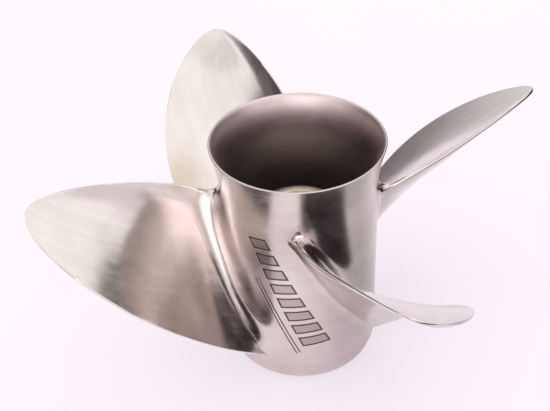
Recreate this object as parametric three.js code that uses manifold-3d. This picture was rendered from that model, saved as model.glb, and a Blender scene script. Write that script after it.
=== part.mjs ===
// Four-blade, left-hand outboard boat propeller with exhaust through the hub.
// Millimetres. +Z is the shaft axis and points aft, z = 0 is the barrel's front edge.
import * as THREE from 'three';
import { mergeVertices } from 'three/addons/utils/BufferGeometryUtils.js';
import Module from 'manifold-3d';

const wasm = await Module();
wasm.setup();

const GAP = 0.3;
const MERGE_DISTANCE = 1e-4;
const TINY = 1e-6;

// Barrel: the outer exhaust tube, with a pilot lip in front and a flared ring aft.
// The front band's points are [rise above FRONT_R, z].
const BARREL_R = 55.4;
const BARREL_BORE_R = 51.6;
const FRONT_R = 52.1;
const PILOT_R = 49.8;
const PILOT_LENGTH = 6;
const PILOT_TAPER = 6;
const FRONT_BAND = [[0.9, 1.2], [2, 4.4], [2.2, 6.7]];
const SHOULDER_Z = 7.6;
const LENGTH = 176.3;
const RING_Z = 140;
const RIM_R = 60.7;
const RIM_WALL = 1.8;
const FLARE_POWER = 2;
const BORE_FLARE_POWER = 3;
const BARREL_SEGMENTS = 96;

// Inner hub: a tube that carries the drive sleeve and stands on the ribs.
const HUB_R = 35;
const HUB_FRONT_Z = 6;
const HUB_AFT_Z = 115;
const HUB_FACE_R = 30;
const HUB_SHOULDER_Z = 100;
const HUB_SHOULDER_DROP = 1.5;
const FRONT_COUNTERBORE_R = 29;
const SLEEVE_FRONT_Z = 14;
const AFT_COUNTERBORE_R = 27.6;
const SLEEVE_AFT_Z = 109;
const HUB_SEGMENTS = 64;

// Ribs: radial webs between the inner hub and the barrel.
const RIB_COUNT = 4;
const RIB_WIDTH = 5;
const RIB_FRONT_Z = 16;
const RIB_AFT_Z = 98;
const RIB_AZIMUTH = 0.84;

// Drive sleeve: a plastic insert with a square taper outside and six wide slots inside.
const SQUARE_HALF = 23;
const SQUARE_CORNER = 13.3;
const SQUARE_TAPER = 0.03;
const SLEEVE_BORE_R = 17.2;
const SLOT_R = 20.6;
const LUG_COUNT = 6;
const SLOT_HALF_ANGLE = 0.27;

// Drive adapter: a splined core with six lugs and a toothed flange.
const CORE_R = 16.7;
const LUG_R = 20.2;
const LUG_HALF_ANGLE = 0.15;
const CORE_FRONT_Z = 14.3;
const FLANGE_Z = 109.6;
const FLANGE_AFT_Z = 115;
const TOOTH_COUNT = 32;
const TOOTH_TIP_R = 27.2;
const TOOTH_ROOT_R = 25.4;
const TOOTH_HEIGHT = 1.2;
const DISH_INSET = 1.2;
const JOIN_OVERLAP = 1;
const SPLINE_TEETH = 15;
const SPLINE_MINOR_R = 12.7;
const SPLINE_MAJOR_R = 13.9;

// Thrust washer: a stepped ring with a cone that seats on the propeller shaft.
const WASHER_FRONT_Z = 4.8;
const WASHER_R = 28.6;
const WASHER_CONE_R = 19.5;
const WASHER_BORE_R = 14.3;
const WASHER_BORE_LENGTH = 4;
const WASHER_CHAMFER = 0.8;

// Blades. s runs from 0 at the barrel to 1 at the tip, w from -1 at the trailing
// edge to 1 at the leading edge.
const BLADE_COUNT = 4;
const BLADE_AZIMUTH = 0.505;
const TIP_R = 185.7;
const PITCH_ROOT = 576;
const PITCH_TIP = 558;
const ROOT_Z = 75.3;
const RAKE = 92;
const CHORD = 125.8;
const CHORD_GROWTH = 0.22;
const CHORD_DROP = 0.52;
const TIP_FULLNESS = 3.8;
const SKEW = [0.2235, -0.2475, -0.075];
const ROOT_THICKNESS = 5.2;
const TIP_THICKNESS = 2.6;
const EDGE_THICKNESS = 2.2;
const ROOT_EDGE = 4.2;
const ROOT_LIFT = 3.5;
const ROOT_SPAN = 0.4;
const ROOT_EDGE_REACH = 0.6;
const BODY_POWER = 1.3;
const EDGE_ROUNDING = 16;
const TIP_ROUNDING = 60;
const SKIRT_ROUNDING = 8;
const CUP = 3.2;
const CUP_START = 0.8;
const CUP_BLEND = 0.02;
const CURL_SOFT = 0.7;
const CURL_SHARP = 0.35;
const CUP_TIP_LOSS = 0.4;
const SAG = 0.6;
const FILLET_R = 8;
const FOOT_GAP = 0.5;
const BLADE_HEIGHTS = [FOOT_GAP, 2, 5, FILLET_R, 18, 32, 48, 64, 80, 94, 106, 115, 122, 127, 129.5];
const CHORD_STEPS = 12;
const FOOT_STEPS = 6;

const steel = { color: 0xc9c0bb, roughness: 0.24, metalness: 1 };
const brass = { color: 0xd9d3b0, roughness: 0.35, metalness: 1 };
const cream = { color: 0xdedcc6, roughness: 0.55, metalness: 0 };

const propeller = new THREE.Group();

function addMesh(name, geometry, finish) {
  const mesh = new THREE.Mesh(geometry, new THREE.MeshStandardMaterial(finish));
  mesh.name = name;
  propeller.add(mesh);
  return mesh;
}

// Keeps only positions, joins shared vertices and gives back one closed surface.
function closed(geometry) {
  const bare = geometry.clone();
  bare.deleteAttribute('normal');
  bare.deleteAttribute('uv');
  const merged = mergeVertices(bare, MERGE_DISTANCE);
  merged.computeVertexNormals();
  return merged;
}

function toSolid(geometry) {
  const merged = closed(geometry);
  const vertProperties = new Float32Array(merged.attributes.position.array);
  const triVerts = new Uint32Array(merged.index.array);
  return new wasm.Manifold(new wasm.Mesh({ numProp: 3, vertProperties, triVerts }));
}

function toGeometry(solid) {
  const mesh = solid.getMesh();
  const geometry = new THREE.BufferGeometry();
  geometry.setAttribute('position', new THREE.BufferAttribute(mesh.vertProperties, 3));
  geometry.setIndex(new THREE.BufferAttribute(mesh.triVerts, 1));
  geometry.computeVertexNormals();
  return geometry;
}

// Turns a profile of [radius, z] points about Z.
function lathe(profile, segments) {
  const points = profile.map(([radius, z]) => new THREE.Vector2(radius, z));
  return new THREE.LatheGeometry(points, segments).rotateX(Math.PI / 2);
}

function disc(radius, fromZ, toZ, segments) {
  return lathe([[0, fromZ], [radius, fromZ], [radius, toZ], [0, toZ]], segments);
}

function extrude(shape, fromZ, toZ) {
  const options = { depth: toZ - fromZ, bevelEnabled: false, curveSegments: 6 };
  return new THREE.ExtrudeGeometry(shape, options).translate(0, 0, fromZ);
}

// A round outline whose radius steps between two values, count times round.
function toothedShape(count, lowR, highR, halfAngle, arcSteps) {
  const shape = new THREE.Shape();
  const pitch = 2 * Math.PI / count;
  for (let tooth = 0; tooth < count; tooth += 1) {
    const middle = tooth * pitch;
    const spans = [
      [highR, middle - halfAngle, middle + halfAngle],
      [lowR, middle + halfAngle, middle + pitch - halfAngle],
    ];
    for (const [radius, start, end] of spans) {
      for (let step = 0; step <= arcSteps; step += 1) {
        const angle = start + (end - start) * step / arcSteps;
        const x = radius * Math.cos(angle);
        const y = radius * Math.sin(angle);
        if (shape.curves.length === 0 && shape.currentPoint.length() === 0) {
          shape.moveTo(x, y);
        } else {
          shape.lineTo(x, y);
        }
      }
    }
  }
  shape.closePath();
  return shape;
}

function roundedSquare(half, corner) {
  const shape = new THREE.Shape();
  const flat = half - corner;
  shape.moveTo(half, -flat);
  shape.lineTo(half, flat);
  shape.absarc(flat, flat, corner, 0, Math.PI / 2);
  shape.lineTo(-flat, half);
  shape.absarc(-flat, flat, corner, Math.PI / 2, Math.PI);
  shape.lineTo(-half, -flat);
  shape.absarc(-flat, -flat, corner, Math.PI, 3 * Math.PI / 2);
  shape.lineTo(flat, -half);
  shape.absarc(flat, -flat, corner, 3 * Math.PI / 2, 2 * Math.PI);
  return shape;
}

// The square taper: wider in front, so that the sleeve wedges as it is pulled aft.
function squareTaper(half, corner, fromZ, toZ) {
  const geometry = extrude(roundedSquare(half, corner), fromZ, toZ);
  const position = geometry.attributes.position;
  for (let i = 0; i < position.count; i += 1) {
    const along = (SLEEVE_AFT_Z - position.getZ(i)) / (SLEEVE_AFT_Z - SLEEVE_FRONT_Z);
    const scale = 1 + SQUARE_TAPER * along;
    position.setXY(i, position.getX(i) * scale, position.getY(i) * scale);
  }
  return geometry;
}

function flareShare(z, power) {
  return Math.max(0, (z - RING_Z) / (LENGTH - RING_Z)) ** power;
}

function flaredOuter(z) {
  return BARREL_R + (RIM_R - BARREL_R) * flareShare(z, FLARE_POWER);
}

function flaredInner(z) {
  const rimBore = RIM_R - RIM_WALL;
  return BARREL_BORE_R + (rimBore - BARREL_BORE_R) * flareShare(z, BORE_FLARE_POWER);
}

function addBarrel() {
  const seam = RING_Z - GAP;
  const band = FRONT_BAND.map(([rise, z]) => [FRONT_R + rise, z]);
  const profile = [
    [PILOT_R, 0], [FRONT_R, 0], ...band, [BARREL_R, SHOULDER_Z], [BARREL_R, seam],
    [BARREL_BORE_R, seam], [BARREL_BORE_R, PILOT_LENGTH + PILOT_TAPER],
    [PILOT_R, PILOT_LENGTH], [PILOT_R, 0],
  ];
  addMesh('barrel', closed(lathe(profile, BARREL_SEGMENTS)), steel);
}

function addDiffuserRing() {
  const steps = 5;
  const outer = [];
  const inner = [];
  for (let step = 0; step <= steps; step += 1) {
    const z = RING_Z + (LENGTH - RING_Z) * step / steps;
    outer.push([flaredOuter(z), z]);
    inner.unshift([flaredInner(z), z]);
  }
  addMesh('diffuser_ring', closed(lathe([...outer, ...inner, outer[0]], BARREL_SEGMENTS)), steel);
}

function addInnerHub() {
  const outline = [
    [0, HUB_FRONT_Z], [HUB_R, HUB_FRONT_Z], [HUB_R, HUB_SHOULDER_Z],
    [HUB_R - HUB_SHOULDER_DROP, SLEEVE_AFT_Z], [HUB_FACE_R, HUB_AFT_Z], [0, HUB_AFT_Z],
  ];
  const body = toSolid(lathe(outline, HUB_SEGMENTS));
  const front = toSolid(disc(FRONT_COUNTERBORE_R, 0, SLEEVE_FRONT_Z, HUB_SEGMENTS));
  const aft = toSolid(disc(AFT_COUNTERBORE_R, SLEEVE_AFT_Z, LENGTH, HUB_SEGMENTS));
  const square = toSolid(squareTaper(SQUARE_HALF, SQUARE_CORNER, 0, LENGTH));
  addMesh('inner_hub', toGeometry(body.subtract(front).subtract(aft).subtract(square)), steel);
}

function addRibs() {
  const inner = HUB_R + GAP;
  const outer = BARREL_BORE_R - GAP;
  const shape = new THREE.Shape();
  const innerAngle = Math.asin(RIB_WIDTH / 2 / inner);
  const outerAngle = Math.asin(RIB_WIDTH / 2 / outer);
  shape.absarc(0, 0, outer, -outerAngle, outerAngle);
  shape.lineTo(inner * Math.cos(innerAngle), RIB_WIDTH / 2);
  shape.absarc(0, 0, inner, innerAngle, -innerAngle, true);
  for (let rib = 0; rib < RIB_COUNT; rib += 1) {
    const mesh = addMesh(`rib_${rib + 1}`, closed(extrude(shape, RIB_FRONT_Z, RIB_AFT_Z)), steel);
    mesh.rotation.z = RIB_AZIMUTH + rib * 2 * Math.PI / RIB_COUNT;
  }
}

function addDriveSleeve() {
  const outside = squareTaper(SQUARE_HALF - GAP, SQUARE_CORNER, SLEEVE_FRONT_Z + GAP,
    SLEEVE_AFT_Z - GAP);
  const slots = toothedShape(LUG_COUNT, SLEEVE_BORE_R, SLOT_R, SLOT_HALF_ANGLE, 4);
  const body = toSolid(outside).subtract(toSolid(extrude(slots, 0, LENGTH)));
  addMesh('drive_sleeve', toGeometry(body), cream);
}

function addDriveAdapter() {
  const lugs = toothedShape(LUG_COUNT, CORE_R, LUG_R, LUG_HALF_ANGLE, 4);
  const halfTooth = Math.PI / TOOTH_COUNT / 2;
  const teeth = toothedShape(TOOTH_COUNT, TOOTH_ROOT_R, TOOTH_TIP_R, halfTooth, 1);
  const halfSpline = Math.PI / SPLINE_TEETH / 2;
  const spline = toothedShape(SPLINE_TEETH, SPLINE_MINOR_R, SPLINE_MAJOR_R, halfSpline, 1);
  const core = toSolid(extrude(lugs, CORE_FRONT_Z, FLANGE_Z + JOIN_OVERLAP));
  const rim = toSolid(extrude(teeth, FLANGE_Z, FLANGE_AFT_Z + TOOTH_HEIGHT));
  const dish = toSolid(disc(TOOTH_ROOT_R - DISH_INSET, FLANGE_AFT_Z, LENGTH, HUB_SEGMENTS));
  const bore = toSolid(extrude(spline, 0, LENGTH));
  addMesh('drive_adapter', toGeometry(core.add(rim).subtract(dish).subtract(bore)), brass);
}

function addThrustWasher() {
  const aft = SLEEVE_FRONT_Z;
  const profile = [
    [WASHER_CONE_R, WASHER_FRONT_Z], [WASHER_R - WASHER_CHAMFER, WASHER_FRONT_Z],
    [WASHER_R, WASHER_FRONT_Z + WASHER_CHAMFER], [WASHER_R, aft], [WASHER_BORE_R, aft],
    [WASHER_BORE_R, aft - WASHER_BORE_LENGTH], [WASHER_CONE_R, WASHER_FRONT_Z],
  ];
  addMesh('thrust_washer', closed(lathe(profile, HUB_SEGMENTS)), brass);
}

function smooth(value) {
  const x = Math.min(Math.max(value, 0), 1);
  return x * x * (3 - 2 * x);
}

// How far the trailing edge is cupped aft, with a lift of the edge near the root.
function cupAt(s, w, chord) {
  const bend = Math.max(0, (-w - CUP_START) / (1 - CUP_START));
  const soft = Math.sqrt(bend ** 2 + CUP_BLEND) - Math.sqrt(CUP_BLEND);
  const curl = CURL_SOFT * soft + CURL_SHARP * bend ** 2;
  const aft = Math.min(w, 0) ** 2;
  const grown = smooth(s / ROOT_SPAN);
  const cup = (CUP * curl - SAG * aft) * grown * (1 - CUP_TIP_LOSS * s) * chord / CHORD;
  return cup + ROOT_LIFT * aft * (1 - grown);
}

function edgeAt(s, w) {
  const nearRoot = (1 - smooth(s / ROOT_SPAN)) * (1 - smooth((w + 1) / ROOT_EDGE_REACH));
  return EDGE_THICKNESS + (ROOT_EDGE - EDGE_THICKNESS) * nearRoot;
}

function chordAt(s) {
  const plan = CHORD * (1 + CHORD_GROWTH * s - CHORD_DROP * s * s);
  return plan * Math.sqrt(1 - s ** TIP_FULLNESS);
}

// A blade point at height above the barrel. side is -1 on the pressure face that
// looks aft, 1 on the suction face, and anything between is inside the blade.
function bladePoint(height, w, side) {
  const s = Math.min(height / (TIP_R - BARREL_R), 1);
  const r = BARREL_R + height;
  const chord = chordAt(s);
  const angle = Math.atan2(PITCH_ROOT + (PITCH_TIP - PITCH_ROOT) * s, 2 * Math.PI * r);
  const round = Math.sqrt(1 - w ** EDGE_ROUNDING) * Math.sqrt(1 - s ** TIP_ROUNDING);
  const body = TIP_THICKNESS + (ROOT_THICKNESS - TIP_THICKNESS) * (1 - s) ** BODY_POWER;
  const edge = edgeAt(s, w);
  const swell = (body - edge) * (1 - w * w) * (side + 1) / 2;
  const free = Math.max(0, FILLET_R - height);
  const skirt = FILLET_R - Math.sqrt(FILLET_R ** 2 - free ** 2);
  const endwise = Math.sign(w) * Math.abs(w) ** SKIRT_ROUNDING;
  const h = (edge / 2 * side + swell) * round - cupAt(s, w, chord)
    + side * skirt * Math.sqrt(1 - endwise ** 2);
  const q = w * chord / 2 + skirt * endwise;
  const around = q * Math.cos(angle) - h * Math.sin(angle);
  const theta = SKEW[0] * s + SKEW[1] * s ** 2 + SKEW[2] * s ** 3 + around / r;
  const z = ROOT_Z + RAKE * s - q * Math.sin(angle) - h * Math.cos(angle);
  return new THREE.Vector3(r * Math.cos(theta), r * Math.sin(theta), z);
}

function chordStation(step) {
  return Math.sin(Math.PI * (step / CHORD_STEPS - 0.5));
}

// Joins rows of points, all of one length, into triangles.
function pushRows(rows, points) {
  for (let row = 1; row < rows.length; row += 1) {
    for (let i = 1; i < rows[row].length; i += 1) {
      const [a, b] = [rows[row - 1][i - 1], rows[row - 1][i]];
      const [c, d] = [rows[row][i], rows[row][i - 1]];
      if (a.distanceTo(b) > TINY) {
        points.push(a, c, b);
      }
      if (c.distanceTo(d) > TINY) {
        points.push(a, d, c);
      }
    }
  }
}

// The blade's skin: closed loops round the section, from the foot to the tip.
function skinRows() {
  const rows = BLADE_HEIGHTS.map((height) => {
    const row = [];
    for (let step = 0; step <= CHORD_STEPS; step += 1) {
      row.push(bladePoint(height, chordStation(step), -1));
    }
    for (let step = CHORD_STEPS - 1; step >= 0; step -= 1) {
      row.push(bladePoint(height, chordStation(step), 1));
    }
    return row;
  });
  const tip = bladePoint(TIP_R - BARREL_R, 0, 0);
  rows.push(rows[0].map(() => tip));
  return rows;
}

// A point on the foot's face, which follows the barrel. share runs from 0 on the
// pressure side to 1 on the suction side.
function footPoint(w, share) {
  const low = bladePoint(FOOT_GAP, w, -1);
  const high = bladePoint(FOOT_GAP, w, 1);
  const turn = Math.atan2(low.y, low.x) * (1 - share) + Math.atan2(high.y, high.x) * share;
  const z = low.z * (1 - share) + high.z * share;
  const r = BARREL_R + FOOT_GAP;
  return new THREE.Vector3(r * Math.cos(turn), r * Math.sin(turn), z);
}

function footRows() {
  const rows = [];
  for (let cross = 0; cross <= FOOT_STEPS; cross += 1) {
    const row = [];
    for (let step = 0; step <= CHORD_STEPS; step += 1) {
      row.push(footPoint(chordStation(step), cross / FOOT_STEPS));
    }
    rows.unshift(row);
  }
  return rows;
}

function bladeGeometry() {
  const points = [];
  pushRows(skinRows(), points);
  pushRows(footRows(), points);
  return closed(new THREE.BufferGeometry().setFromPoints(points));
}

function addBlades() {
  for (let blade = 0; blade < BLADE_COUNT; blade += 1) {
    const mesh = addMesh(`blade_${blade + 1}`, bladeGeometry(), steel);
    mesh.rotation.z = BLADE_AZIMUTH + blade * 2 * Math.PI / BLADE_COUNT;
  }
}

addBarrel();
addDiffuserRing();
addInnerHub();
addRibs();
addBlades();
addDriveSleeve();
addDriveAdapter();
addThrustWasher();

export default propeller;
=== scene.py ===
"""A polished stainless boat propeller, standing on its front end on a pale floor."""
import math

import bmesh
import bpy
from mathutils import Matrix, Vector


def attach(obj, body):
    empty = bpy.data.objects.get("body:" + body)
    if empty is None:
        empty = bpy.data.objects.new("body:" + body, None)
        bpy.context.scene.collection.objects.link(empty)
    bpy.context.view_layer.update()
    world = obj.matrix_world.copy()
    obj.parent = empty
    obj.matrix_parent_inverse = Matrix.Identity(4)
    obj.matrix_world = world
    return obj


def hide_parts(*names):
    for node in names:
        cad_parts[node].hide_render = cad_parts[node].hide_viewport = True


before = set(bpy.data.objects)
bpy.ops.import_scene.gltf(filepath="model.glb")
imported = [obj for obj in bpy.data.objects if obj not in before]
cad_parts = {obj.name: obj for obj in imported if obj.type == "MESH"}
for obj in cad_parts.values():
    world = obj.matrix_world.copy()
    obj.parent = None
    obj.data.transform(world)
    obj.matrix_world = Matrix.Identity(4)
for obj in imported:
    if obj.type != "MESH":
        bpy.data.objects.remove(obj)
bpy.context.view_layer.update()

MM = 0.001
TAU = 2 * math.pi

# the barrel, in millimetres
BARREL_R = 55.4
BORE_R = 51.6
FRONT_R = 52.1
PILOT_R = 49.8
LENGTH = 176.3
RING_Z = 140.0
RIM_R = 60.7
RIM_WALL = 1.8

# ---------------------------------------------------------------- camera
CAMERA_AT = (0.0, -0.5461, 0.5433)
CAMERA_PAN = -0.0312
CAMERA_TILT = 0.6587
CAMERA_ROLL = -0.0454
CAMERA_LENS = 63.77


def add_camera():
    forward = Vector((
        math.sin(CAMERA_PAN) * math.cos(CAMERA_TILT),
        math.cos(CAMERA_PAN) * math.cos(CAMERA_TILT),
        -math.sin(CAMERA_TILT),
    ))
    right = forward.cross(Vector((0, 0, 1))).normalized()
    up = right.cross(forward)
    turned_right = right * math.cos(CAMERA_ROLL) + up * math.sin(CAMERA_ROLL)
    turned_up = up * math.cos(CAMERA_ROLL) - right * math.sin(CAMERA_ROLL)
    data = bpy.data.cameras.new("camera")
    data.sensor_width = 36
    data.sensor_fit = "HORIZONTAL"
    data.lens = CAMERA_LENS
    data.clip_start = 0.01
    camera = bpy.data.objects.new("camera", data)
    bpy.context.scene.collection.objects.link(camera)
    camera.matrix_world = Matrix.Translation(CAMERA_AT) @ Matrix((
        (turned_right.x, turned_up.x, -forward.x, 0),
        (turned_right.y, turned_up.y, -forward.y, 0),
        (turned_right.z, turned_up.z, -forward.z, 0),
        (0, 0, 0, 1),
    ))
    bpy.context.scene.camera = camera


# ---------------------------------------------------------------- mesh helpers
MERGE_DISTANCE = 1e-7
SHARP_DEGREES = 38
UV_RADIUS = 55
# a face belongs to the bore if its normal leans at least this much towards the axis
BORE_FACING = 0.3


def spaced(low, high, count):
    return [low + (high - low) * i / count for i in range(count + 1)]


def smooth(x):
    x = min(max(x, 0.0), 1.0)
    return x * x * (3 - 2 * x)


def grid_piece(name, rows, uvs, wrap_rows=False, sharp_degrees=SHARP_DEGREES):
    """A surface through closed rows of points in millimetres. uvs[row][column] is in millimetres too."""
    columns = len(rows[0])
    verts = [tuple(c * MM for c in point) for row in rows for point in row]
    faces, corners = [], []
    for i in range(len(rows) if wrap_rows else len(rows) - 1):
        here = i * columns
        below = (i + 1) % len(rows) * columns
        for j in range(columns):
            beside = (j + 1) % columns
            faces.append((here + j, here + beside, below + beside, below + j))
            corners.append((uvs[i][j], uvs[i][j + 1], uvs[i + 1][j + 1], uvs[i + 1][j]))
    mesh = bpy.data.meshes.new(name)
    mesh.from_pydata(verts, [], faces)
    layer = mesh.uv_layers.new(name="UVMap")
    for polygon, four in zip(mesh.polygons, corners):
        for loop, (u, v) in zip(polygon.loop_indices, four):
            layer.data[loop].uv = (u * MM, v * MM)
    work = bmesh.new()
    work.from_mesh(mesh)
    bmesh.ops.remove_doubles(work, verts=work.verts, dist=MERGE_DISTANCE)
    bmesh.ops.recalc_face_normals(work, faces=work.faces)
    work.to_mesh(mesh)
    work.free()
    mesh.polygons.foreach_set("use_smooth", [True] * len(mesh.polygons))
    mesh.set_sharp_from_angle(angle=math.radians(sharp_degrees))
    piece = bpy.data.objects.new(name, mesh)
    bpy.context.scene.collection.objects.link(piece)
    return piece


def revolve(name, profile, steps, sharp_degrees=SHARP_DEGREES):
    """Turns a closed profile of (radius, z) about Z. A radius may be a function of the angle."""
    rows = []
    for radius, z in profile:
        row = []
        for j in range(steps):
            angle = TAU * j / steps
            r = radius(angle) if callable(radius) else radius
            row.append((r * math.cos(angle), r * math.sin(angle), z))
        rows.append(row)
    lengths = [0.0]
    for i in range(len(rows)):
        here, after = rows[i][0], rows[(i + 1) % len(rows)][0]
        lengths.append(lengths[-1] + math.dist(here, after))
    uvs = [[(UV_RADIUS * TAU * j / steps, length) for j in range(steps + 1)] for length in lengths]
    return grid_piece(name, rows, uvs, wrap_rows=True, sharp_degrees=sharp_degrees)


def finish_piece(piece, body, material, node, bore=None):
    """bore, if given, covers the faces that look towards the axis."""
    piece.data.materials.append(material)
    if bore:
        piece.data.materials.append(bore)
        for polygon in piece.data.polygons:
            middle, normal = polygon.center, polygon.normal
            outward = normal.x * middle.x + normal.y * middle.y
            if outward < -BORE_FACING * math.hypot(middle.x, middle.y):
                polygon.material_index = 1
    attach(piece, body)
    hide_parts(node)


# ---------------------------------------------------------------- node trees
class Nodes:
    """Short calls for building one material's node tree."""

    def __init__(self, name):
        self.material = bpy.data.materials.new(name)
        self.material.use_nodes = True
        self.tree = self.material.node_tree
        self.shader = self.tree.nodes["Principled BSDF"]

    def add(self, kind, **values):
        node = self.tree.nodes.new(kind)
        for key, value in values.items():
            setattr(node, key, value)
        return node

    def link(self, out, into):
        self.tree.links.new(out, into)

    def feed(self, value, socket):
        if isinstance(value, bpy.types.NodeSocket):
            self.link(value, socket)
        else:
            socket.default_value = value

    def coordinate(self, kind):
        return self.add("ShaderNodeTexCoord").outputs[kind]

    def split(self, vector):
        node = self.add("ShaderNodeSeparateXYZ")
        self.link(vector, node.inputs[0])
        return node.outputs

    def math(self, operation, a, b=0.0, c=0.0):
        node = self.add("ShaderNodeMath", operation=operation)
        for value, socket in zip((a, b, c), node.inputs):
            self.feed(value, socket)
        return node.outputs[0]

    def scaled(self, vector, scale):
        node = self.add("ShaderNodeVectorMath", operation="MULTIPLY")
        self.link(vector, node.inputs[0])
        node.inputs[1].default_value = scale
        return node.outputs[0]

    def length(self, vector):
        node = self.add("ShaderNodeVectorMath", operation="LENGTH")
        self.link(vector, node.inputs[0])
        return node.outputs["Value"]

    def dot(self, vector, axis):
        node = self.add("ShaderNodeVectorMath", operation="DOT_PRODUCT")
        self.link(vector, node.inputs[0])
        node.inputs[1].default_value = axis
        return node.outputs["Value"]

    def noise(self, vector, scale, detail=3.0, roughness=0.55, distortion=0.0):
        node = self.add("ShaderNodeTexNoise")
        self.link(vector, node.inputs["Vector"])
        node.inputs["Scale"].default_value = scale
        node.inputs["Detail"].default_value = detail
        node.inputs["Roughness"].default_value = roughness
        node.inputs["Distortion"].default_value = distortion
        return node.outputs["Fac"]

    def ramp(self, value, stops):
        node = self.add("ShaderNodeValToRGB")
        self.link(value, node.inputs["Fac"])
        elements = node.color_ramp.elements
        while len(elements) < len(stops):
            elements.new(0.5)
        for element, (place, colour) in zip(elements, stops):
            element.position = place
            element.color = (*colour, 1)
        return node.outputs["Color"]

    def spread(self, value, low, high, to_low, to_high):
        node = self.add("ShaderNodeMapRange")
        self.link(value, node.inputs["Value"])
        ends = {"From Min": low, "From Max": high, "To Min": to_low, "To Max": to_high}
        for key, number in ends.items():
            node.inputs[key].default_value = number
        return node.outputs["Result"]

    def multiply(self, colour, by):
        node = self.add("ShaderNodeMix", data_type="RGBA", blend_type="MULTIPLY")
        node.inputs["Factor"].default_value = 1.0
        self.link(colour, node.inputs[6])
        self.link(by, node.inputs[7])
        return node.outputs[2]

    def bump(self, height, strength, distance, below=None):
        node = self.add("ShaderNodeBump")
        node.inputs["Strength"].default_value = strength
        node.inputs["Distance"].default_value = distance
        self.link(height, node.inputs["Height"])
        if below is not None:
            self.link(below, node.inputs["Normal"])
        return node.outputs["Normal"]


# ---------------------------------------------------------------- etched ornament
# its middle as arc and height on the barrel in millimetres, its slant, and its reach
ETCH_ARC, ETCH_Z, ETCH_SLANT = -10.2, 83.0, math.radians(113.7)
ETCH_LENGTH, ETCH_HALF_WIDTH, ETCH_TAPER = 53.0, 9.5, 0.6
BAR_PITCH, BAR_HALF, BAR_LEAN = 13.25, 4.1, 0.3
BAR_LINE = (0.4, 0.8)
RULE_AT, RULE_GAP, RULE_LENGTH = 15.5, 1.3, 36.0
RULE_LINE = (0.3, 0.6)
ETCH_BLUR = 0.2
ETCH_DEPTH = 0.0002
WHOLE_CELLS = 20.0
PLAIN = (1, 1, 1)
FILL_TONE = (0.66, 0.63, 0.62)
LINE_TONE = (0.2, 0.17, 0.17)


def etched_bars(nodes, place):
    """Masks of lines and filling for a slanting row of graduated bars beside a double rule."""

    def size(value):
        return nodes.math("ABSOLUTE", value)

    x, y, z = nodes.split(nodes.scaled(place, (1 / MM, 1 / MM, 1 / MM)))
    turn = nodes.math("ARCTAN2", y, x)
    arc = nodes.math("MULTIPLY_ADD", turn, BARREL_R, BARREL_R * math.pi / 2 - ETCH_ARC)
    rise = nodes.math("SUBTRACT", z, ETCH_Z)
    cos, sin = math.cos(ETCH_SLANT), math.sin(ETCH_SLANT)
    along = nodes.math("MULTIPLY_ADD", rise, sin, nodes.math("MULTIPLY", arc, cos))
    across = nodes.math("MULTIPLY_ADD", rise, -cos, nodes.math("MULTIPLY", arc, sin))

    leaning = nodes.math("MULTIPLY_ADD", across, BAR_LEAN, along)
    cell = nodes.math("FRACT", nodes.math("MULTIPLY_ADD", leaning, 1 / BAR_PITCH, WHOLE_CELLS))
    aside = nodes.math("MULTIPLY_ADD", size(nodes.math("SUBTRACT", cell, 0.5)), BAR_PITCH, -BAR_HALF)
    reach = nodes.spread(along, -ETCH_LENGTH, ETCH_LENGTH, ETCH_HALF_WIDTH, ETCH_HALF_WIDTH * ETCH_TAPER)
    depth = nodes.math("MAXIMUM", aside, nodes.math("SUBTRACT", size(across), reach))
    within = nodes.spread(size(leaning), ETCH_LENGTH - ETCH_BLUR, ETCH_LENGTH, 1, 0)
    line = nodes.math("MULTIPLY", nodes.spread(size(depth), *BAR_LINE, 1, 0), within)
    fill = nodes.math("MULTIPLY", nodes.spread(depth, -ETCH_BLUR, ETCH_BLUR, 1, 0), within)

    aside = size(nodes.math("ADD", across, RULE_AT))
    rule = nodes.spread(size(nodes.math("SUBTRACT", aside, RULE_GAP)), *RULE_LINE, 1, 0)
    middle = size(nodes.math("ADD", along, ETCH_LENGTH - RULE_LENGTH))
    ends = nodes.spread(middle, RULE_LENGTH - ETCH_BLUR, RULE_LENGTH, 1, 0)
    return nodes.math("MAXIMUM", line, nodes.math("MULTIPLY", rule, ends)), fill


# ---------------------------------------------------------------- materials
# steel's noise scales: along and across the brushing, then over the whole object
GRAIN_ALONG, GRAIN_ACROSS = 18, 900
BRUSH_ALONG, BRUSH_ACROSS = 4, 110
CLOUD_SCALE, STAIN_SCALE, WAVE_SCALE = 22, 60, 30
# how much cloud and brushing tint it, and how high the brushing stands beside the grain
CLOUD_SHARE, BRUSH_SHARE, BRUSH_HEIGHT = 0.65, 0.35, 0.6
# what the grain and the stains add to its roughness
GRAIN_ROUGHNESS = (-0.03, 0.05)
STAIN_ROUGHNESS = (-0.02, 0.06)

PLASTIC_CLOUD, PLASTIC_SHEEN, PLASTIC_GRAIN = 90, 700, 2200
PLASTIC_ROUGHNESS = (0.42, 0.6)
PLASTIC_GRAIN_DEPTH = 0.00004

BRONZE_CLOUD, BRONZE_TURNING = 120, (12, 1400, 1)
BRONZE_ROUGHNESS = (0.26, 0.44)
BRONZE_TURNING_DEPTH = 0.00002


def shaded(nodes, colour, place, axis, low, high, foot, top):
    """Multiplies the colour by foot below low and by top above high, measured along
    the axis, or outwards from Z if there is no axis."""
    along = nodes.dot(place, axis) if axis else nodes.length(nodes.scaled(place, (1, 1, 0)))
    return nodes.multiply(colour, nodes.ramp(nodes.spread(along, low, high, 0, 1), [(0, foot), (1, top)]))


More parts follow.
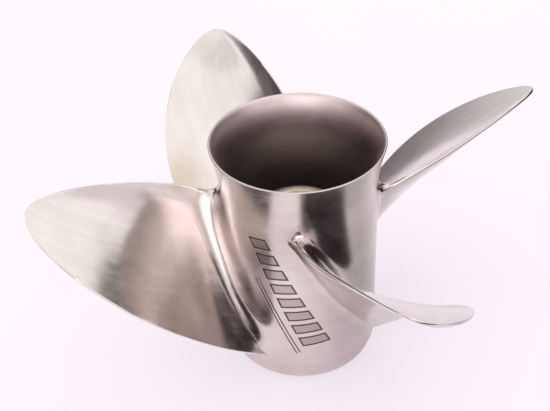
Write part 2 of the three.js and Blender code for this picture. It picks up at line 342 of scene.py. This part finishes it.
def steel(name, tint, dark, roughness, anisotropic=0.0, streak=1.0, grain=0.00001, wave=0.0002,
          shade=None, etched=False):
    """Polished stainless: brushed along the UV's u, with hand-polished waves and faint stains.
    shade holds the arguments of shaded, from axis on."""
    nodes = Nodes(name)
    uv = nodes.coordinate("UV")
    place = nodes.coordinate("Object")
    fine = nodes.noise(nodes.scaled(uv, (GRAIN_ALONG * streak, GRAIN_ACROSS, 1)), 1.0, 4.0, 0.7)
    broad = nodes.noise(nodes.scaled(uv, (BRUSH_ALONG * streak, BRUSH_ACROSS, 1)), 1.0, 3.0, 0.6)
    cloud = nodes.math("MULTIPLY", nodes.noise(place, CLOUD_SCALE, 4.0, 0.6, 0.4), CLOUD_SHARE)
    mixed = nodes.math("ADD", cloud, nodes.math("MULTIPLY", broad, BRUSH_SHARE))
    colour = nodes.ramp(mixed, [(0.32, dark), (0.62, tint)])
    if shade:
        colour = shaded(nodes, colour, place, *shade)
    normal = nodes.bump(nodes.noise(place, WAVE_SCALE, 2.0, 0.5), 1.0, wave)
    if etched:
        line, fill = etched_bars(nodes, place)
        colour = nodes.multiply(colour, nodes.ramp(fill, [(0, PLAIN), (1, FILL_TONE)]))
        colour = nodes.multiply(colour, nodes.ramp(line, [(0, PLAIN), (1, LINE_TONE)]))
        normal = nodes.bump(nodes.math("MULTIPLY", line, -1.0), 1.0, ETCH_DEPTH, normal)
    brushed = nodes.math("ADD", fine, nodes.math("MULTIPLY", broad, BRUSH_HEIGHT))
    normal = nodes.bump(brushed, 1.0, grain, normal)
    stain = nodes.noise(place, STAIN_SCALE, 5.0, 0.65, 0.8)
    rough = nodes.math("ADD", nodes.spread(fine, 0.3, 0.7, *GRAIN_ROUGHNESS), roughness)
    rough = nodes.math("ADD", rough, nodes.spread(stain, 0.35, 0.75, *STAIN_ROUGHNESS))
    nodes.link(colour, nodes.shader.inputs["Base Color"])
    nodes.link(rough, nodes.shader.inputs["Roughness"])
    nodes.link(normal, nodes.shader.inputs["Normal"])
    nodes.shader.inputs["Metallic"].default_value = 1.0
    nodes.shader.inputs["Anisotropic"].default_value = anisotropic
    if anisotropic:
        tangent = nodes.add("ShaderNodeTangent", direction_type="UV_MAP", uv_map="UVMap")
        nodes.link(tangent.outputs[0], nodes.shader.inputs["Tangent"])
    return nodes.material


def barrel_steel():
    """Painted shade: a little darker near the front end, where it stands on the floor."""
    return steel("barrel_steel", (0.64, 0.57, 0.55), (0.54, 0.475, 0.455), 0.2, anisotropic=0.4,
                 grain=0.000003, shade=((0, 0, 1), 0.03, 0.09, (0.97, 0.93, 0.96), PLAIN), etched=True)


def blade_steel():
    """Comes close to the barrel's tone at the blade's foot."""
    return steel("blade_steel", (0.765, 0.715, 0.69), (0.65, 0.59, 0.57), 0.16, grain=0.000003,
                 shade=(None, 0.056, 0.072, (0.81, 0.765, 0.765), PLAIN))


def bore_steel():
    """Painted shade: darker deep in the bore and near its rim at the front and sides, so only the aft rim
    on the +Y side keeps its full tone as a painted highlight.
    """
    return steel("bore_steel", (0.78, 0.66, 0.66), (0.62, 0.51, 0.51), 0.4, streak=0.5, grain=0.00002,
                 wave=0.0001, shade=((0, 0.6, 0.8), 0.135, 0.168, (0.48, 0.47, 0.47), PLAIN))


def hub_steel():
    return steel("hub_steel", (0.62, 0.58, 0.54), (0.42, 0.38, 0.36), 0.36)


def moulded_plastic(name, colour, dark):
    nodes = Nodes(name)
    place = nodes.coordinate("Object")
    cloud = nodes.noise(place, PLASTIC_CLOUD, 4.0, 0.6)
    rough = nodes.spread(nodes.noise(place, PLASTIC_SHEEN, 3.0), 0.3, 0.7, *PLASTIC_ROUGHNESS)
    normal = nodes.bump(nodes.noise(place, PLASTIC_GRAIN, 2.0), 0.6, PLASTIC_GRAIN_DEPTH)
    nodes.link(nodes.ramp(cloud, [(0.3, dark), (0.65, colour)]), nodes.shader.inputs["Base Color"])
    nodes.link(rough, nodes.shader.inputs["Roughness"])
    nodes.link(normal, nodes.shader.inputs["Normal"])
    return nodes.material


def turned_bronze(name, colour, dark):
    nodes = Nodes(name)
    place = nodes.coordinate("Object")
    turned = nodes.noise(nodes.scaled(nodes.coordinate("UV"), BRONZE_TURNING), 1.0, 3.0, 0.6)
    cloud = nodes.noise(place, BRONZE_CLOUD, 4.0, 0.65, 0.5)
    nodes.link(nodes.ramp(cloud, [(0.3, dark), (0.6, colour)]), nodes.shader.inputs["Base Color"])
    nodes.link(nodes.spread(turned, 0.3, 0.7, *BRONZE_ROUGHNESS), nodes.shader.inputs["Roughness"])
    nodes.link(nodes.bump(turned, 0.8, BRONZE_TURNING_DEPTH), nodes.shader.inputs["Normal"])
    nodes.shader.inputs["Metallic"].default_value = 1.0
    return nodes.material


# ---------------------------------------------------------------- barrel
# the front band as (rise above FRONT_R, z), and the pilot bore as (rise above PILOT_R, z)
FRONT_BAND = (
    (-0.6, 0), (0, 0.25), (0.9, 1.2), (1.6, 2.6), (2.0, 4.4), (2.1, 6.3), (2.2, 6.7), (2.7, 7.0),
    (3.1, 7.4),
)
SHOULDER_Z, STRAIGHT_Z = 8.2, 12
PILOT_CHAMFER = 0.5
PILOT_BORE = ((1.4, 11.5), (0.3, 7.0), (0, 6.0), (0, PILOT_CHAMFER))
PILOT_TOP_Z = 14
BORE_FLARE = 1.5
# one half of the diffuser ring's lip as (distance from its middle, drop), over this height
LIP = 0.8
HALF_LIP = ((0.8, 0.35), (0.55, 0.1), (0.3, 0))
BARREL_STEPS, BARREL_ROWS, BORE_ROWS, RING_ROWS = 192, 16, 12, 24


def flare(z):
    return max(0.0, (z - RING_Z) / (LENGTH - RING_Z)) ** 2


def ring_outer(z):
    return BARREL_R + (RIM_R - BARREL_R) * flare(z)


def ring_inner(z):
    return BORE_R + (RIM_R - RIM_WALL - BORE_R) * flare(z) ** BORE_FLARE


def add_barrel(material, bore):
    front = [(PILOT_R + PILOT_CHAMFER, 0)]
    front += [(FRONT_R + rise, z) for rise, z in FRONT_BAND] + [(BARREL_R, SHOULDER_Z)]
    outer = [(BARREL_R, z) for z in spaced(STRAIGHT_Z, RING_Z, BARREL_ROWS)]
    inner = [(BORE_R, z) for z in spaced(RING_Z, PILOT_TOP_Z, BORE_ROWS)]
    pilot = [(PILOT_R + rise, z) for rise, z in PILOT_BORE]
    piece = revolve("barrel_skin", front + outer + inner + pilot, BARREL_STEPS)
    finish_piece(piece, "casting", material, "barrel", bore=bore)


def add_diffuser_ring(material, bore):
    """Flares aft and ends in a rounded lip."""
    middle = RIM_R - RIM_WALL / 2
    outer = [(ring_outer(z), z) for z in spaced(RING_Z, LENGTH - LIP, RING_ROWS)]
    inner = [(ring_inner(z), z) for z in spaced(LENGTH - LIP, RING_Z, RING_ROWS)]
    lip = [(middle + aside, LENGTH - down) for aside, down in HALF_LIP]
    lip += [(middle - aside, LENGTH - down) for aside, down in reversed(HALF_LIP)]
    piece = revolve("diffuser_ring_skin", outer + lip + inner, BARREL_STEPS)
    finish_piece(piece, "casting", material, "diffuser_ring", bore=bore)


# ---------------------------------------------------------------- hub
HUB_R = 35.0
HUB_FACE_R = 30.0
HUB_FRONT_Z, HUB_AFT_Z = 6.0, 115.0
SLEEVE_FRONT_Z, SLEEVE_AFT_Z = 14.0, 109.0
HUB_SHOULDER = ((0, 40), (0, 80), (-0.1, 100), (-0.8, 106), (-1.6, 109.2), (-2.6, 111.6), (-3.8, 113.6))
FRONT_COUNTERBORE_R, AFT_COUNTERBORE_R = 29.0, 27.6
CLEARANCE = 0.3
SQUARE_HALF = 23.0
SQUARE_CORNER = 13.3
SQUARE_TAPER = 0.03
SQUARE_ROWS = 6
HUB_STEPS, SLEEVE_STEPS, ADAPTER_STEPS = 128, 288, 960

# toothed outlines as count, root radius, crest radius and the crest's share of a pitch
TOOTH_SLOPE = 0.12
SLEEVE_SLOTS = (6, 17.2, 20.6, 0.52)
ADAPTER_LUGS = (6, 16.7, 20.2, 0.29)
FLANGE_TEETH = (32, 25.5, 27.15, 0.5)
CHAMFERED_TEETH = (32, 25.3, 26.9, 0.5)
SPLINE = (15, 12.7, 13.9, 0.5)
ADAPTER_SHARP_DEGREES = 30

WASHER_PROFILE = (
    (19.5, 4.8), (19.9, 4.8), (27.8, 4.8), (28.3, 5.0), (28.6, 5.6), (28.6, 13.3),
    (28.2, 13.7), (14.8, 13.7), (14.3, 13.3), (14.3, 10.2), (14.6, 9.8), (19.2, 5.2),
)


def square_radius(half, z):
    """The rounded square taper's radius as a function of the angle."""
    scale = 1 + SQUARE_TAPER * (SLEEVE_AFT_Z - z) / (SLEEVE_AFT_Z - SLEEVE_FRONT_Z)
    flat = half - SQUARE_CORNER

    def radius(angle):
        folded = abs((angle + math.pi / 4) % (math.pi / 2) - math.pi / 4)
        cos, sin = math.cos(folded), math.sin(folded)
        straight = half / cos
        if straight * sin <= flat:
            return straight * scale
        middle = flat * (cos + sin)
        return (middle + math.sqrt(middle ** 2 - 2 * flat ** 2 + SQUARE_CORNER ** 2)) * scale

    return radius


def toothed_radius(count, low, high, share):
    """A radius that steps between two values, with sloping flanks."""

    def radius(angle):
        phase = (angle * count / TAU) % 1.0
        distance = abs(phase - 0.5) * 2
        slope = min(max((share - distance) / TOOTH_SLOPE + 0.5, 0.0), 1.0)
        return low + (high - low) * slope

    return radius


def add_inner_hub(material):
    front, aft = HUB_FRONT_Z, HUB_AFT_Z
    outer = [(HUB_R - 0.6, front), (HUB_R - 0.2, front + 0.2), (HUB_R, front + 0.8)]
    outer += [(HUB_R + rise, z) for rise, z in HUB_SHOULDER]
    outer += [(HUB_FACE_R + 0.35, aft - 0.1), (HUB_FACE_R, aft)]
    counterbore = [
        (AFT_COUNTERBORE_R + 0.3, aft), (AFT_COUNTERBORE_R, aft - 0.3), (AFT_COUNTERBORE_R, SLEEVE_AFT_Z),
    ]
    heights = spaced(SLEEVE_AFT_Z, SLEEVE_FRONT_Z, SQUARE_ROWS)
    square = [(square_radius(SQUARE_HALF, z), z) for z in heights]
    recess = [
        (FRONT_COUNTERBORE_R, SLEEVE_FRONT_Z), (FRONT_COUNTERBORE_R, front + 0.4),
        (FRONT_COUNTERBORE_R + 0.4, front),
    ]
    piece = revolve("inner_hub_skin", outer + counterbore + square + recess, HUB_STEPS)
    finish_piece(piece, "casting", material, "inner_hub")


def add_drive_sleeve(material):
    top, bottom = SLEEVE_AFT_Z - CLEARANCE, SLEEVE_FRONT_Z + CLEARANCE
    heights = spaced(bottom, top, SQUARE_ROWS)
    outer = [(square_radius(SQUARE_HALF - CLEARANCE, z), z) for z in heights]
    slots = toothed_radius(*SLEEVE_SLOTS)
    piece = revolve("drive_sleeve_skin", outer + [(slots, top), (slots, bottom)], SLEEVE_STEPS)
    finish_piece(piece, "casting", material, "drive_sleeve")


def add_drive_adapter(material):
    """A lugged core with a toothed flange aft and a splined bore."""
    lugs = toothed_radius(*ADAPTER_LUGS)
    teeth = toothed_radius(*FLANGE_TEETH)
    chamfered = toothed_radius(*CHAMFERED_TEETH)
    spline = toothed_radius(*SPLINE)
    profile = [
        (lugs, 14.6), (lugs, 109.5),
        (25.2, 109.6), (teeth, 109.9), (teeth, 115.9), (chamfered, 116.2),
        (24.5, 116.2), (24.2, 115.9), (24.2, 115.2), (24.0, 115.0), (15.2, 115.0), (14.6, 114.6),
        (spline, 113.8), (spline, 15.2), (14.4, 14.4),
    ]
    piece = revolve("drive_adapter_skin", profile, ADAPTER_STEPS, ADAPTER_SHARP_DEGREES)
    finish_piece(piece, "drive_core", material, "drive_adapter")


def add_thrust_washer(material):
    piece = revolve("thrust_washer_skin", WASHER_PROFILE, HUB_STEPS)
    finish_piece(piece, "drive_core", material, "thrust_washer")


# ---------------------------------------------------------------- ribs
RIB_COUNT = 4
RIB_AZIMUTH = 0.84
RIB_HALF_WIDTH = 2.5
RIB_LOW, RIB_HIGH = 16, 98
RIB_FILLET = 4.0
RIB_OVERLAP = 0.1
FLANGE_GROWTH = 0.6
RIB_ROWS, RIB_END_STEPS, RIB_UV_STEP = 24, 8, 3.0


def rib_section(flange):
    """(across, z) points of an upright with rounded ends, thickened by its flange."""
    half = RIB_HALF_WIDTH
    thick = half + flange
    low, high = RIB_LOW - flange * FLANGE_GROWTH, RIB_HIGH + flange * FLANGE_GROWTH
    turns = spaced(0, math.pi, RIB_END_STEPS)
    top = [(thick * math.cos(turn), high - half + half * math.sin(turn)) for turn in turns]
    bottom = [(-thick * math.cos(turn), low + half - half * math.sin(turn)) for turn in turns]
    return top + bottom


def rib_row(r, azimuth, flange):
    """The section wrapped round the axis at radius r."""
    points = []
    for across, z in rib_section(flange):
        reach = math.sqrt(max(r * r - across * across, 0.0))
        x = reach * math.cos(azimuth) - across * math.sin(azimuth)
        y = reach * math.sin(azimuth) + across * math.cos(azimuth)
        points.append((x, y, z))
    return points


def add_ribs(material):
    """Each web flares into a fillet at the inner hub and at the barrel."""
    inner, outer = HUB_R - RIB_OVERLAP, BORE_R + RIB_OVERLAP
    for number in range(RIB_COUNT):
        azimuth = RIB_AZIMUTH + number * TAU / RIB_COUNT
        rows, uvs = [], []
        for r in spaced(inner, outer, RIB_ROWS):
            free = max(0.0, RIB_FILLET - min(r - inner, outer - r))
            rows.append(rib_row(r, azimuth, RIB_FILLET - math.sqrt(RIB_FILLET ** 2 - free ** 2)))
            uvs.append([(r, k * RIB_UV_STEP) for k in range(len(rows[-1]) + 1)])
        piece = grid_piece(f"rib_{number + 1}_skin", rows, uvs)
        finish_piece(piece, "casting", material, f"rib_{number + 1}")


# ---------------------------------------------------------------- blades
# s runs from 0 at the barrel to 1 at the tip, w from -1 at the trailing edge to 1 at
# the leading edge, and side is -1 on the aft face and 1 on the forward face.
BLADE_COUNT = 4
BLADE_AZIMUTH = 0.505
TIP_R = 185.7
HEIGHT = TIP_R - BARREL_R
PITCH_ROOT, PITCH_TIP = 576.0, 558.0
ROOT_Z, RAKE = 75.3, 92.0
CHORD, CHORD_GROWTH, CHORD_DROP, TIP_FULLNESS = 125.8, 0.22, 0.52, 3.8
SKEW = (0.2235, -0.2475, -0.075)
ROOT_THICKNESS, TIP_THICKNESS, EDGE_THICKNESS = 5.2, 2.6, 2.2
BODY_POWER, NOSE_SHARE, TIP_TAPER = 1.3, 0.8, 12
ROOT_EDGE, ROOT_LIFT, ROOT_SPAN, ROOT_EDGE_REACH = 4.2, 3.5, 0.4, 0.6
CUP, CUP_START, CUP_TIP_LOSS, SAG = 3.2, 0.80, 0.4, 0.6
CURL_SOFT, CURL_SHARP, CURL_BLEND, CURL_REST = 0.7, 0.35, 0.02, 0.14
AFT_FILLET, FORWARD_FILLET = 23.0, 6.0
TRAILING_FILLET, LEADING_FILLET = 14.0, 6.0
AFT_END_POWER, FORWARD_END_POWER, SKIRT_POWER = 10, 30, 10
FILLET_BLEND = 2.6
FOOT_DEPTH = 0.04
FILLET_ROWS, SPAN_ROWS, CHORD_STEPS = 16, 64, 40
BLADE_UV_PITCH, BLADE_UV_MIDDLE = 60, 200


def fillet_radius(w, side):
    along = AFT_FILLET if side < 0 else FORWARD_FILLET
    end = TRAILING_FILLET if w < 0 else LEADING_FILLET
    return along + (end - along) * abs(w) ** (AFT_END_POWER if side < 0 else FORWARD_END_POWER)


def fillet_profile(share):
    """Height and skirt of a unit fillet, from the barrel (0) to the blade (1)."""
    half = 0.5 ** (1 / FILLET_BLEND)
    if share < 0.5:
        run = half * share * 2
        return 1 - (1 - run ** FILLET_BLEND) ** (1 / FILLET_BLEND), 1 - run
    rise = half * (1 - share) * 2
    return 1 - rise, 1 - (1 - rise ** FILLET_BLEND) ** (1 / FILLET_BLEND)


def blade_edge(s, w):
    near_root = (1 - smooth(s / ROOT_SPAN)) * (1 - smooth((w + 1) / ROOT_EDGE_REACH))
    return EDGE_THICKNESS + (ROOT_EDGE - EDGE_THICKNESS) * near_root


def blade_cup(s, w, chord):
    """How far the trailing edge is cupped aft, with a lift of the edge near the root."""
    bend = max(0.0, (-w - CUP_START) / (1 - CUP_START))
    curl = CURL_SOFT * (math.sqrt(bend ** 2 + CURL_BLEND) - CURL_REST) + CURL_SHARP * bend ** 2
    trailing = min(w, 0) ** 2
    grown = smooth(s / ROOT_SPAN)
    cup = (CUP * curl - SAG * trailing) * grown * (1 - CUP_TIP_LOSS * s) * chord / CHORD
    return cup + ROOT_LIFT * trailing * (1 - grown)


def blade_point(height, w, side, skirt):
    """Radius, angle and z of a point, and its distance along the chord."""
    s = min(max(height / HEIGHT, 0.0), 1.0)
    r = BARREL_R + height
    chord = CHORD * (1 + CHORD_GROWTH * s - CHORD_DROP * s * s) * math.sqrt(1 - s ** TIP_FULLNESS)
    angle = math.atan2(PITCH_ROOT + (PITCH_TIP - PITCH_ROOT) * s, TAU * r)
    edge = blade_edge(s, w)
    inset = min((1 - abs(w)) * chord / edge / NOSE_SHARE, 1.0)
    nose = math.sqrt(max(1 - (1 - inset) ** 2, 0.0))
    body = TIP_THICKNESS + (ROOT_THICKNESS - TIP_THICKNESS) * (1 - s) ** BODY_POWER
    swell = (body - edge) * (1 - w * w) * (side + 1) / 2 * min(1.0, (1 - s) * HEIGHT / TIP_TAPER)
    endwise = math.copysign(abs(w) ** SKIRT_POWER, w)
    across = edge / 2 * side * nose + swell - blade_cup(s, w, chord)
    across += side * skirt * math.sqrt(1 - endwise ** 2)
    along = w * chord / 2 + skirt * endwise
    around = along * math.cos(angle) - across * math.sin(angle)
    theta = SKEW[0] * s + SKEW[1] * s ** 2 + SKEW[2] * s ** 3 + around / r
    z = ROOT_Z + RAKE * s - along * math.sin(angle) - across * math.cos(angle)
    return r, theta, z, along


def blade_station(row, w, side):
    """Height and skirt of a row at one place on the section: fillet rows, then span rows."""
    radius = fillet_radius(w, side)
    if row < FILLET_ROWS:
        height, skirt = (radius * part for part in fillet_profile(row / FILLET_ROWS))
        return height - (FOOT_DEPTH if row == 0 else 0.0), skirt
    share = (row - FILLET_ROWS) / SPAN_ROWS
    return radius + (HEIGHT - radius) * math.sin(math.pi / 2 * share), 0.0


def section_loop():
    """(w, side) round a section: forwards on the aft face, back on the forward face."""
    stations = [math.sin(math.pi * (step / CHORD_STEPS - 0.5)) for step in range(CHORD_STEPS + 1)]
    return [(w, -1) for w in stations] + [(w, 1) for w in reversed(stations[1:-1])]


def add_blades(material):
    for number in range(BLADE_COUNT):
        azimuth = BLADE_AZIMUTH + number * TAU / BLADE_COUNT
        rows, uvs = [], []
        for row in range(FILLET_ROWS + SPAN_ROWS + 1):
            points, places = [], []
            for w, side in section_loop():
                height, skirt = blade_station(row, w, side)
                r, theta, z, along = blade_point(height, w, side, skirt)
                points.append((r * math.cos(theta + azimuth), r * math.sin(theta + azimuth), z))
                places.append((height + BLADE_UV_PITCH * number, along * side + BLADE_UV_MIDDLE))
            rows.append(points)
            uvs.append(places + places[:1])
        piece = grid_piece(f"blade_{number + 1}_skin", rows, uvs)
        finish_piece(piece, "casting", material, f"blade_{number + 1}")


# ---------------------------------------------------------------- floor
FLOOR_SIZE, FLOOR_RISE, FLOOR_BEND = 2.4, 1.8, 0.5
FLOOR_DARK, FLOOR_PALE = (0.37, 0.345, 0.38), (0.39, 0.365, 0.40)
FLOOR_GLOW, FLOOR_GLOW_STRENGTH = (1.0, 0.93, 1.0, 1), 0.57


def add_floor():
    """A sheet of paper that bends up behind the set."""
    start = FLOOR_SIZE - FLOOR_BEND
    rows = [(-FLOOR_SIZE, 0.0), (start, 0.0)]
    for turn in spaced(0, math.pi / 2, 12)[1:]:
        rows.append((start + FLOOR_BEND * math.sin(turn), FLOOR_BEND - FLOOR_BEND * math.cos(turn)))
    rows.append((FLOOR_SIZE, FLOOR_RISE))
    mesh = bpy.data.meshes.new("floor")
    verts = [(x, y, z) for y, z in rows for x in (-FLOOR_SIZE, FLOOR_SIZE)]
    faces = [(2 * i, 2 * i + 1, 2 * i + 3, 2 * i + 2) for i in range(len(rows) - 1)]
    mesh.from_pydata(verts, [], faces)
    mesh.polygons.foreach_set("use_smooth", [True] * len(mesh.polygons))
    floor = bpy.data.objects.new("floor", mesh)
    bpy.context.scene.collection.objects.link(floor)
    nodes = Nodes("floor_paper")
    cloud = nodes.noise(nodes.coordinate("Object"), 1.5)
    nodes.link(nodes.ramp(cloud, [(0.3, FLOOR_DARK), (0.7, FLOOR_PALE)]), nodes.shader.inputs["Base Color"])
    nodes.shader.inputs["Roughness"].default_value = 0.9
    nodes.shader.inputs["Specular IOR Level"].default_value = 0.1
    nodes.shader.inputs["Emission Color"].default_value = FLOOR_GLOW
    nodes.shader.inputs["Emission Strength"].default_value = FLOOR_GLOW_STRENGTH
    mesh.materials.append(nodes.material)


# ---------------------------------------------------------------- reflected room
WORLD_COLOUR, WORLD_STRENGTH = (1.0, 0.985, 0.965, 1), 1.25

# a ring of low walls and its colours, at shares of the turn from -180 to 180 degrees
SURROUND_R, SURROUND_HEIGHT, SURROUND_STEPS = 1.0, 0.7, 96
SURROUND_FADE = (0.48, 0.68)
SURROUND_GLOW = (
    (0.00, (0.17, 0.16, 0.16)), (0.06, (0.34, 0.31, 0.31)), (0.08, (1.7, 1.6, 1.55)),
    (0.13, (0.68, 0.63, 0.59)), (0.165, (0.60, 0.54, 0.48)), (0.19, (0.52, 0.44, 0.42)),
    (0.225, (1.05, 0.90, 0.90)), (0.275, (1.0, 0.88, 0.88)), (0.335, (1.4, 1.3, 1.35)),
    (0.385, (0.95, 0.87, 0.93)), (0.45, (0.95, 0.87, 0.93)), (0.48, (0.02, 0.015, 0.02)),
    (0.615, (0.02, 0.015, 0.02)), (0.65, (0.60, 0.58, 0.60)), (0.71, (0.95, 0.93, 0.95)),
    (0.765, (0.62, 0.60, 0.61)), (0.81, (0.30, 0.285, 0.29)), (0.85, (0.22, 0.21, 0.22)),
    (0.92, (0.16, 0.15, 0.16)), (0.97, (0.15, 0.14, 0.145)),
)

# upright cards: name, middle and half width in degrees of azimuth, radius, bottom, top, colour
PANELS = (
    ("room_right", 24, 36, 0.42, 0, 0.36, (0.02, 0.015, 0.02)),
    ("room_right_low", -4, 28, 0.32, 0, 0.15, (0.02, 0.015, 0.02)),
    ("room_right_high", 45, 21, 0.40, 0.2, 0.51, (0.08, 0.085, 0.07)),
    ("room_front", -86, 20, 0.5, 0, 0.28, (0.03, 0.02, 0.03)),
    ("room_front_right", -58, 40, 0.49, 0, 0.235, (0.01, 0.005, 0.01)),
    ("photographer", -58, 12, 0.5, 0.30, 0.50, (0.78, 0.64, 0.58)),
    ("wall_right", -8, 26, 0.9, 0.42, 1.15, (0.92, 0.84, 0.90)),
    ("ceiling_warm", -105, 27, 0.5, 0.62, 1.05, (1.0, 0.92, 0.76)),
    ("stool_left", -138, 8, 0.9, 0, 0.33, (0.04, 0.04, 0.04)),
    ("stool_left_low", -147, 13, 0.88, 0, 0.19, (0.04, 0.045, 0.035)),
    ("screen_left", 180, 20, 0.98, 0.45, 1.15, (0.2, 0.18, 0.18)),
    ("truss_left", 170, 14, 0.98, 1.45, 1.8, (0.7, 0.72, 0.7)),
    ("screen_back", 158, 20, 0.9, 0.25, 0.9, (0.07, 0.065, 0.07)),
    ("lamp_left", -101, 28, 0.6, 0.24, 0.66, (2.7, 2.53, 2.6)),
)
PANEL_STEPS = 12
PANEL_SIDE_FADE, PANEL_END_FADE = 0.2, 0.22

# round cards on the floor: name, x, y, radius, colour
FLOOR_CARDS = (
    ("shade_right", 0.15, -0.03, 0.12, (0.62, 0.6, 0.62)),
    ("glow_front", -0.05, -0.13, 0.12, (1.22, 1.18, 1.21)),
)
CARD_LIFT = 0.0005
CARD_STEPS = 48
CARD_CORE = 0.3


def finish_card(card, nodes, cover, colour):
    """Glows where cover is 1 and is clear where it is 0. Only reflections show it."""
    emission = nodes.add("ShaderNodeEmission")
    nodes.feed(colour, emission.inputs["Color"])
    clear = nodes.add("ShaderNodeBsdfTransparent")
    mix = nodes.add("ShaderNodeMixShader")
    nodes.link(cover, mix.inputs[0])
    nodes.link(clear.outputs[0], mix.inputs[1])
    nodes.link(emission.outputs[0], mix.inputs[2])
    nodes.link(mix.outputs[0], nodes.tree.nodes["Material Output"].inputs["Surface"])
    card.data.materials.append(nodes.material)
    card.visible_camera = False
    card.visible_diffuse = False
    card.visible_shadow = False


def add_surround():
    """The room beyond the paper: dark on the right, dim on the left, pale in front and behind."""
    steps, radius = SURROUND_STEPS, SURROUND_R
    rim = [(radius * math.cos(TAU * j / steps), radius * math.sin(TAU * j / steps)) for j in range(steps)]
    verts = [(x, y, z) for z in (0, SURROUND_HEIGHT) for x, y in rim]
    faces = [(j, (j + 1) % steps, steps + (j + 1) % steps, steps + j) for j in range(steps)]
    mesh = bpy.data.meshes.new("surround")
    mesh.from_pydata(verts, [], faces)
    wall = bpy.data.objects.new("surround", mesh)
    bpy.context.scene.collection.objects.link(wall)
    nodes = Nodes("surround")
    x, y, z = nodes.split(nodes.coordinate("Object"))
    turn = nodes.spread(nodes.math("ARCTAN2", y, x), -math.pi, math.pi, 0, 1)
    finish_card(wall, nodes, nodes.spread(z, *SURROUND_FADE, 1, 0), nodes.ramp(turn, SURROUND_GLOW))


def add_panel(name, middle, half, radius, low, high, colour):
    """An upright curved card, centred on the azimuth middle, with soft edges."""
    verts, places = [], []
    for row, z in enumerate((low, high)):
        for j in range(PANEL_STEPS + 1):
            turn = math.radians(half) * (2 * j / PANEL_STEPS - 1)
            verts.append((radius * math.cos(turn), radius * math.sin(turn), z))
            places.append((j / PANEL_STEPS, row))
    above = PANEL_STEPS + 1
    mesh = bpy.data.meshes.new(name)
    mesh.from_pydata(verts, [], [(j, j + 1, above + 1 + j, above + j) for j in range(PANEL_STEPS)])
    layer = mesh.uv_layers.new(name="UVMap")
    for loop in mesh.loops:
        layer.data[loop.index].uv = places[loop.vertex_index]
    panel = bpy.data.objects.new(name, mesh)
    bpy.context.scene.collection.objects.link(panel)
    panel.rotation_euler.z = math.radians(middle)
    nodes = Nodes(name)
    u, v, _ = nodes.split(nodes.coordinate("UV"))
    aside = nodes.math("ABSOLUTE", nodes.math("SUBTRACT", u, 0.5))
    sides = nodes.spread(aside, 0.5 - PANEL_SIDE_FADE, 0.5, 1, 0)
    cover = nodes.math("MULTIPLY", sides, nodes.spread(v, 1 - PANEL_END_FADE, 1, 1, 0))
    if low > 0:
        cover = nodes.math("MULTIPLY", cover, nodes.spread(v, 0, PANEL_END_FADE, 0, 1))
    finish_card(panel, nodes, cover, (*colour, 1))


def add_floor_card(name, x, y, radius, colour):
    """A round card lying on the floor, fading outwards."""
    turns = spaced(0, TAU, CARD_STEPS)[:-1]
    mesh = bpy.data.meshes.new(name)
    rim = [(radius * math.cos(turn), radius * math.sin(turn), 0) for turn in turns]
    mesh.from_pydata(rim, [], [tuple(range(CARD_STEPS))])
    card = bpy.data.objects.new(name, mesh)
    bpy.context.scene.collection.objects.link(card)
    card.location = (x, y, CARD_LIFT)
    nodes = Nodes(name)
    reach = nodes.length(nodes.coordinate("Object"))
    finish_card(card, nodes, nodes.spread(reach, CARD_CORE * radius, radius, 1, 0), (*colour, 1))


def add_studio():
    world = bpy.data.worlds.new("studio")
    world.use_nodes = True
    bpy.context.scene.world = world
    background = world.node_tree.nodes["Background"]
    background.inputs["Color"].default_value = WORLD_COLOUR
    background.inputs["Strength"].default_value = WORLD_STRENGTH
    bpy.context.scene.view_settings.view_transform = "Standard"
    add_floor()
    add_surround()
    for panel in PANELS:
        add_panel(*panel)
    for card in FLOOR_CARDS:
        add_floor_card(*card)


# ---------------------------------------------------------------- build
add_camera()
shell, bore, core = barrel_steel(), bore_steel(), hub_steel()
add_barrel(shell, bore)
add_diffuser_ring(shell, bore)
add_inner_hub(core)
add_ribs(core)
add_blades(blade_steel())
add_drive_sleeve(moulded_plastic("sleeve_plastic", (0.78, 0.77, 0.66), (0.66, 0.64, 0.54)))
add_drive_adapter(turned_bronze("adapter_bronze", (0.80, 0.77, 0.62), (0.62, 0.57, 0.42)))
add_thrust_washer(turned_bronze("washer_brass", (0.78, 0.68, 0.45), (0.58, 0.48, 0.3)))
add_studio()
